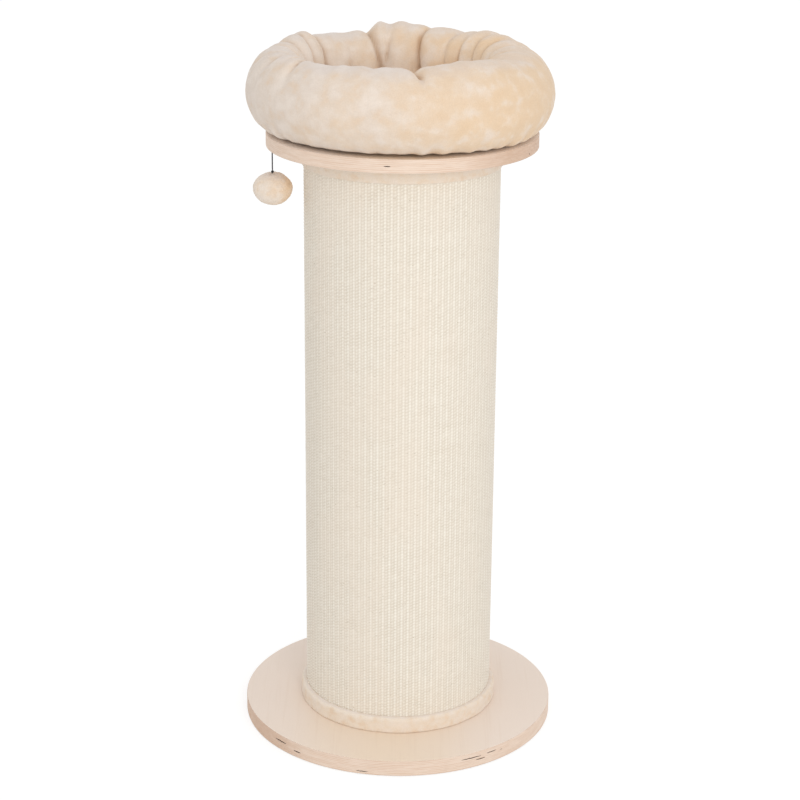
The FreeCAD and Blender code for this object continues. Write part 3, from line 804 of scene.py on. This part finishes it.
def rounded_loop(corners, rounds, spacing):
    """A closed outline (radius, height) with rounded corners, its points evenly spaced."""
    corners = np.array(corners, float)
    path = []
    for i, (corner, rounding) in enumerate(zip(corners, rounds)):
        before, after = corners[i - 1] - corner, corners[(i + 1) % len(corners)] - corner
        before, after = before / np.linalg.norm(before), after / np.linalg.norm(after)
        half = math.acos(np.clip(before @ after, -1, 1)) / 2
        start, end = corner + before * rounding / math.tan(half), corner + after * rounding / math.tan(half)
        centre = corner + (before + after) / np.linalg.norm(before + after) * rounding / math.sin(half)
        for t in np.linspace(0, 1, 16):
            arm = (start - centre) * (1 - t) + (end - centre) * t
            path.append(centre + arm / max(np.linalg.norm(arm), 1e-9) * rounding)
    path = np.array(path + path[:1])
    travelled = np.concatenate([[0], np.cumsum(np.linalg.norm(np.diff(path, axis=0), axis=1))])
    wanted = np.linspace(0, travelled[-1], max(8, round(travelled[-1] / spacing)), endpoint=False)
    return np.stack([np.interp(wanted, travelled, path[:, k]) for k in (0, 1)], axis=-1)


def make_band(name, node, section, seed, finish):
    """A plush strip wrapped round the post. Its face wanders in and out and is a little lumpy."""
    angle = np.linspace(0, 2 * math.pi, BAND_COLUMNS, endpoint=False)
    radius = np.broadcast_to(section[:, 0], (BAND_COLUMNS, len(section))).copy()
    inner = radius.min()
    free = np.clip((radius - inner) / (radius.max() - inner), 0, 1)
    radius += free * 0.5 * MM * wave(angle, seed, 5, 40)[:, None]
    points = polar(radius, angle[:, None], section[:, 1])
    band = mesh_object(name, points, grid_faces(BAND_COLUMNS, len(section)))
    points = coordinates(band.data)
    away = smooth_step(np.hypot(points[:, 0], points[:, 1]), inner + 0.3 * MM, inner + 1.5 * MM)
    push(band, away * (0.35 * MM * lumps(points, 9 * MM, seed) + 0.22 * MM * lumps(points, 2.2 * MM, seed)))
    dress(band, finish)
    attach(band, "post")
    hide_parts(node)
    return band


def make_bands():
    finish = plush_finish("band_plush", BAND_LEFT_SHADE_TINT, BAND_RIGHT_LIGHT_TINT, BAND_PAINTED_LIGHT_REACH, SHORT_PATCH, SHORT_PILE)
    inner = SISAL_RADIUS - BAND_BITE
    low, high = lower_band_low.z, lower_band_high.z
    outer = lower_band_high.x
    corners = [(inner, low), (outer, low), (outer - 0.4 * MM, high), (inner, high)]
    section = rounded_loop(corners, (0.2 * MM, 2.0 * MM, 6.3 * MM, 0.3 * MM), 1.6 * MM)
    section[:, 1] = np.clip(section[:, 1], low, high)
    band = make_band("lower_band_plush", "lower_plush_band", section, 21, finish)
    settle(band, low)
    low, high = upper_band_low.z, upper_band_high.z
    outer = upper_band_high.x
    face = SISAL_RADIUS + UPPER_BAND_FOOT
    corners = [(inner, low), (face, low), (face + 0.4 * MM, low + 17 * MM), (outer, high), (inner, high)]
    section = rounded_loop(corners, (0.2 * MM, 1.1 * MM, 4.0 * MM, 0.4 * MM, 0.2 * MM), 1.4 * MM)
    band = make_band("upper_band_plush", "upper_plush_band", section, 31, finish)
    settle(band, top=high)


# ---- Bed: the stuffed ring ----

RING_COLUMNS = 384
RING_SPACING = 5.6 * MM
# How far the section's corners start from the filled size, because the cover spreads and sinks when it
# is blown up: inner foot, outer foot, outer top and inner top, along the radius and the height
RING_TRIM = np.array([[3.5, 0], [-7, 0], [-7, 1.5], [3.5, 1.5]]) * MM
RING_ROUNDS = (36.5 * MM, 40.5 * MM, 48.4 * MM, 46.5 * MM)
INNER_SHIFT = -12 * MM  # along X, of the hollow's mouth: the bed's left arm is thinner than its right
# A crease drawn in by the cloth's gathers. Its angle is at the rim's top, lean is how much further round
# it lies at the inner wall, and reach is how far over the rim it starts: 90 is the top, 180 the inner wall.
Crease = namedtuple("Crease", "angle lean depth width reach")
CREASES = [
    Crease(105, -8, 20 * MM, 4.5 * MM, 52),
    Crease(89, 7, 10 * MM, 4 * MM, 96),
    Crease(75, -2, 18 * MM, 5 * MM, 62),
    Crease(56, -2, 6 * MM, 6 * MM, 60),
    Crease(44, -1, 14 * MM, 3.5 * MM, 104),
    Crease(36, -10, 9 * MM, 5 * MM, 62),
    Crease(27, -13, 9 * MM, 5 * MM, 56),
    Crease(14, -11, 9 * MM, 5 * MM, 62),
    Crease(-4, -6, 10 * MM, 5 * MM, 70),
    Crease(-26, -2, 12 * MM, 6 * MM, 62),
    Crease(-50, 5, 9 * MM, 5 * MM, 88),
    Crease(-81, 0, 30 * MM, 5 * MM, 46),
    Crease(-100, 2, 9 * MM, 5 * MM, 92),
    Crease(-118, 0, 10 * MM, 6 * MM, 84),
    Crease(-141, -4, 13 * MM, 4 * MM, 32),
    Crease(-158, 4, 11 * MM, 5 * MM, 30),
    Crease(-174, 5, 10 * MM, 5 * MM, 28),
    Crease(170, 6, 11 * MM, 5 * MM, 32),
    Crease(158, 5, 12 * MM, 5 * MM, 42),
    Crease(148, 3, 11 * MM, 4.5 * MM, 48),
    Crease(137, 1, 17 * MM, 5 * MM, 56),
    Crease(119, 0, 6 * MM, 4 * MM, 120),
]
# A swelling: where it is, how wide, and how far it stands out
Swell = namedtuple("Swell", "angle spread rise")
RIM_SWELLS = [
    Swell(100, 4, 7 * MM),
    Swell(88, 12, 14 * MM),
    Swell(148, 9, 9 * MM),
    Swell(118, 14, -3 * MM),
    Swell(170, 12, -3 * MM),
    Swell(68, 10, 4 * MM),
    Swell(38, 14, 7 * MM),
    Swell(-58, 13, 7 * MM),
    Swell(-115, 25, 2 * MM),
]
SHOULDER_SWELLS = [
    Swell(12, 28, -6 * MM),
]
FOOT_SWELLS = [
    Swell(-40, 32, 7 * MM),
    Swell(-95, 22, -3 * MM),
    Swell(222, 24, -7 * MM),
]


def turn_between(first, second):
    """The signed turn from one angle to another, in degrees, the short way round."""
    return (first - second + 180) % 360 - 180


def crease_depth(bearing, around, radius):
    """How deep the creases draw the cloth in, and how near each point is to a valley."""
    depth = np.zeros_like(radius)
    valley = np.zeros_like(radius)
    for crease in CREASES:
        lean = crease.lean * np.clip((around - 90) / 90, -0.5, 1.2)
        aside = np.radians(turn_between(bearing, crease.angle + lean)) * radius
        reach = smooth_step(around, crease.reach, crease.reach + 55)
        reach = reach * (1 - smooth_step(around, 215, 280))
        near = np.exp(-np.abs(aside) / crease.width)
        depth = np.maximum(depth, crease.depth * reach * near)
        valley = np.maximum(valley, reach * np.exp(-((aside / (0.5 * crease.width)) ** 2)))
    return depth, valley


def swelling(bearing, swells):
    return sum(s.rise * np.exp(-((turn_between(bearing, s.angle) / s.spread) ** 2)) for s in swells)


def rest_on_bed(ring):
    """The ring lies on its panel, and past the panel it sags towards the plate."""
    points = coordinates(ring.data)
    reach = np.hypot(points[:, 0] - RING_CENTRE.x, points[:, 1])
    sag = FOOT_SAG * smooth_step(reach, PANEL_RADIUS, PANEL_RADIUS + 14 * MM)
    points[:, 2] -= sag * smooth_step(points[:, 2], ring_low.z + 30 * MM, ring_low.z)
    points[:, 2] = np.maximum(points[:, 2], ring_low.z - sag)
    set_coordinates(ring.data, points)


def ring_section():
    low, high = ring_low.z, ring_high.z
    corners = [(RING_INNER, low), (RING_OUTER, low), (RING_OUTER, high), (RING_INNER, high)]
    return rounded_loop(np.array(corners) + RING_TRIM, RING_ROUNDS, RING_SPACING)


def make_ring():
    """The stuffed ring: a tube of plush bent round, so its inner side is gathered and its outer side
    smooth."""
    section = ring_section()
    bearing = np.linspace(0, 360, RING_COLUMNS, endpoint=False)[:, None]
    radius, height = section[None, :, 0], section[None, :, 1]
    out, up = radius - RING_MIDDLE, height - RING_MIDHEIGHT
    around = np.degrees(np.arctan2(up, out)) % 360
    away = np.hypot(out, up)
    on_top = np.clip(np.sin(np.radians(around)), 0, 1) ** 1.5
    on_foot = np.exp(-(((around - 318) / 26) ** 2))
    angle = np.radians(bearing)
    lift = swelling(bearing, RIM_SWELLS) + 1.2 * MM * wave(angle, 3, 3, 11)
    depth, valley = crease_depth(bearing, around + 0 * bearing, radius + 0 * bearing)
    puckers = 2.2 * MM * np.exp(-(((around - 300) / 16) ** 2)) * wave(angle, 8, 18, 60)
    folds = 1.6 * MM * smooth_step(around, 40, 80) * smooth_step(around, 200, 150) * wave(angle, 6, 22, 44)
    shoulder = np.exp(-(((around - 48) / 24) ** 2)) * swelling(bearing, SHOULDER_SWELLS)
    outward = puckers + folds + shoulder + on_foot * swelling(bearing, FOOT_SWELLS) - depth
    radius = radius + outward * out / away
    height = height + outward * up / away + lift * on_top
    points = polar(radius, angle, height, RING_CENTRE)
    points[..., 0] += INNER_SHIFT * smooth_step(around, 70, 125) * smooth_step(around, 245, 190)
    ring = mesh_object("bolster_plush", points, grid_faces(RING_COLUMNS, len(section)))
    soft = coordinates(ring.data)
    push(ring, 2.2 * MM * lumps(soft, 70 * MM, 2) * np.broadcast_to(around < 250, depth.shape).ravel())
    # The creases' valleys, which the material uses to paint shade along the creases.
    store(ring, "crease", (valley * smooth_step(depth, 2 * MM, 14 * MM)).ravel())
    pinned = np.clip(valley * (depth > 5 * MM), 0, 1)
    pinned = np.maximum(pinned, smooth_step(around, 240, 262) * smooth_step(around, 308, 290) + 0 * bearing)
    inflate(ring, pinned.ravel(), pressure=700, cap=7 * MM)
    subdivide(ring)
    points = coordinates(ring.data)
    push(ring, 0.5 * MM * lumps(points, 14 * MM, 4) + 0.3 * MM * lumps(points, 3.5 * MM, 5))
    rest_on_bed(ring)
    dress(ring, plush_finish("bed_plush", BED_LEFT_SHADE_TINT, BED_RIGHT_LIGHT_TINT, BED_PAINTED_LIGHT_REACH))
    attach(ring, "bed")
    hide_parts("bolster_cover", "bolster_filling")


# ---- Bed: the floor cushion ----


def make_cushion():
    """A round pad sewn from two discs and a narrow side, drawn in a little at its seams."""
    columns, rings = 160, 26
    angle = np.linspace(0, 2 * math.pi, columns, endpoint=False)[:, None]
    low, high = cushion_low.z, cushion_high.z
    edge = CUSHION_RADIUS - 2.5 * MM
    share = np.linspace(0.04, 1, rings)
    radius = edge * np.sin(share * math.pi / 2)
    crown = (high - low) / 2 - 3.5 * MM
    profile = (1 - share**6) ** 0.5 * crown
    middle = (low + high) / 2 - 1.5 * MM
    top = polar(radius[None], angle, middle + profile[None] + 0 * angle, RING_CENTRE)
    bottom = polar(radius[None, :-1], angle, middle - profile[None, :-1] + 0 * angle, RING_CENTRE)[:, ::-1]
    points = np.concatenate([top, bottom], axis=1)
    rows = points.shape[1]
    faces = grid_faces(columns, rows, close_rows=False)
    faces += [[i * rows for i in range(columns)], [i * rows + rows - 1 for i in range(columns)]]
    cushion = mesh_object("floor_cushion_plush", points, faces)
    reach = np.broadcast_to(np.concatenate([radius, radius[:-1][::-1]]), (columns, rows))
    pucker = smooth_step(reach, 0.8 * edge, edge) * wave(angle, 17, 20, 48)
    spot = coordinates(cushion.data)
    push(cushion, (1.4 * MM * pucker).ravel() + 2.0 * MM * lumps(spot, 60 * MM, 9))
    pinned = (reach > 0.995 * edge).ravel().astype(float)
    inflate(cushion, pinned, pressure=3, cap=6 * MM)
    subdivide(cushion)
    spot = coordinates(cushion.data)
    push(cushion, 0.5 * MM * lumps(spot, 12 * MM, 6) + 0.25 * MM * lumps(spot, 3.5 * MM, 7))
    settle(cushion, bottom=low)
    dress(cushion, plush_finish("cushion_plush", BED_LEFT_SHADE_TINT, BED_RIGHT_LIGHT_TINT, BED_PAINTED_LIGHT_REACH, 24 * MM))
    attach(cushion, "bed")
    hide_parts("floor_cushion_cover", "floor_cushion_filling")


# ---- Ball toy ----

# Painted light and shade across the ball: lighter and cooler at the left, a darker shaded tint at the right.
BALL_LEFT_LIGHT_TINT = srgb(239, 225, 210)
BALL_RIGHT_SHADE_TINT = srgb(240, 214, 185)


def make_ball():
    """A stuffed plush ball, gathered at the top where the cord's knot sits in a dimple."""
    shell = bmesh.new()
    bmesh.ops.create_icosphere(shell, subdivisions=5, radius=1.0)
    mesh = bpy.data.meshes.new("toy_ball_plush")
    shell.to_mesh(mesh)
    shell.free()
    ball = bpy.data.objects.new("toy_ball_plush", mesh)
    bpy.context.scene.collection.objects.link(ball)
    unit = coordinates(mesh)
    size = (ball_high - ball_low) / 2
    half_height = (lower_knot_low.z + lower_knot_high.z) / 2 - BALL_CENTRE.z + 0.5 * MM
    from_top = np.degrees(np.arccos(np.clip(unit[:, 2], -1, 1)))
    bearing = np.arctan2(unit[:, 1], unit[:, 0])
    points = unit * np.array([size.x - 1.2 * MM, size.x - 1.2 * MM, half_height - 1.0 * MM])
    fold = np.exp(-((from_top - 16) / 16) ** 2) * np.cos(9 * bearing + 0.6 * np.sin(2 * bearing))
    dimple = np.exp(-((from_top / 11) ** 2))
    points *= (1 + 0.035 * fold)[:, None]
    points[:, 2] -= 3.2 * MM * dimple
    set_coordinates(mesh, points + np.array(BALL_CENTRE))
    push(ball, 1.1 * MM * lumps(points, 22 * MM, 12))
    inflate(ball, np.exp(-((from_top / 26) ** 4)), pressure=2500, cap=2 * MM)
    subdivide(ball)
    points = coordinates(ball.data)
    push(ball, 0.3 * MM * lumps(points, 6 * MM, 13) + 0.7 * MM * lumps(points, 2.2 * MM, 14))
    ball.data.shade_smooth()
    # Where the ball's painted light and shade turns from the left tint to the right, along X.
    reach = (BALL_CENTRE.x - 12 * MM, BALL_CENTRE.x + 30 * MM)
    dress(ball, plush_finish("ball_plush", BALL_LEFT_LIGHT_TINT, BALL_RIGHT_SHADE_TINT, reach, SHORT_PATCH, SHORT_PILE))
    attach(ball, "toy_ball")
    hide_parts("toy_ball_cover", "toy_ball_filling")


# ---- Light, floor and background ----

WORLD_LIGHT = 0.85
KEY_WATTS = 25.0
KEY_PLACE = Vector((0.85, -3.1, 1.8))
KEY_AIM = Vector((0.0, 0.0, 0.6))


def seen_directly(tree):
    """1 for rays that show the background: the camera's, and those in metal or through glass."""
    path = tree.nodes.new("ShaderNodeLightPath")
    total = path.outputs["Is Camera Ray"]
    for kind in ("Is Glossy Ray", "Is Transmission Ray"):
        either = tree.nodes.new("ShaderNodeMath")
        either.operation = "MAXIMUM"
        tree.links.new(total, either.inputs[0])
        tree.links.new(path.outputs[kind], either.inputs[1])
        total = either.outputs[0]
    return total


def make_world():
    world = bpy.data.worlds.new("studio")
    bpy.context.scene.world = world
    world.use_nodes = True
    tree = world.node_tree
    tree.nodes.clear()
    light, white = tree.nodes.new("ShaderNodeBackground"), tree.nodes.new("ShaderNodeBackground")
    for shader, strength in ((light, WORLD_LIGHT), (white, 1.0)):
        shader.inputs["Color"].default_value = (1, 1, 1, 1)
        shader.inputs["Strength"].default_value = strength
    choice, output = tree.nodes.new("ShaderNodeMixShader"), tree.nodes.new("ShaderNodeOutputWorld")
    tree.links.new(seen_directly(tree), choice.inputs[0])
    tree.links.new(light.outputs[0], choice.inputs[1])
    tree.links.new(white.outputs[0], choice.inputs[2])
    tree.links.new(choice.outputs[0], output.inputs[0])


def make_floor():
    """A plain pale floor. The camera sees it white, with the object's soft shadow."""
    reach = 40.0
    corners = [(-reach, -reach, 0), (reach, -reach, 0), (reach, reach, 0), (-reach, reach, 0)]
    floor = mesh_object("floor", corners, [[0, 1, 2, 3]])
    material = bpy.data.materials.new("floor_white")
    material.use_nodes = True
    tree = material.node_tree
    tree.nodes.clear()
    plain, shown = tree.nodes.new("ShaderNodeBsdfDiffuse"), tree.nodes.new("ShaderNodeBsdfDiffuse")
    plain.inputs["Color"].default_value = (0.86, 0.855, 0.85, 1)
    shown.inputs["Color"].default_value = (0.38, 0.38, 0.38, 1)
    glow, total = tree.nodes.new("ShaderNodeEmission"), tree.nodes.new("ShaderNodeAddShader")
    glow.inputs["Strength"].default_value = 0.70
    choice, output = tree.nodes.new("ShaderNodeMixShader"), tree.nodes.new("ShaderNodeOutputMaterial")
    tree.links.new(shown.outputs[0], total.inputs[0])
    tree.links.new(glow.outputs[0], total.inputs[1])
    tree.links.new(seen_directly(tree), choice.inputs[0])
    tree.links.new(plain.outputs[0], choice.inputs[1])
    tree.links.new(total.outputs[0], choice.inputs[2])
    tree.links.new(choice.outputs[0], output.inputs[0])
    floor.data.materials.append(material)


def make_key():
    light = bpy.data.lights.new("key", "AREA")
    light.shape, light.size = "DISK", 1.4
    light.energy = KEY_WATTS
    light.color = (1.0, 0.995, 0.985)
    key = bpy.data.objects.new("key", light)
    key.location = KEY_PLACE
    key.rotation_euler = (KEY_AIM - KEY_PLACE).to_track_quat("-Z", "Y").to_euler()
    bpy.context.scene.collection.objects.link(key)


# ---- Build ----

bpy.context.scene.view_settings.view_transform = "Standard"
make_camera()
make_cord()
make_world()
make_floor()
make_key()
dress_nodes()
make_plates()
make_sisal()
make_bands()
make_ring()
make_cushion()
make_ball()
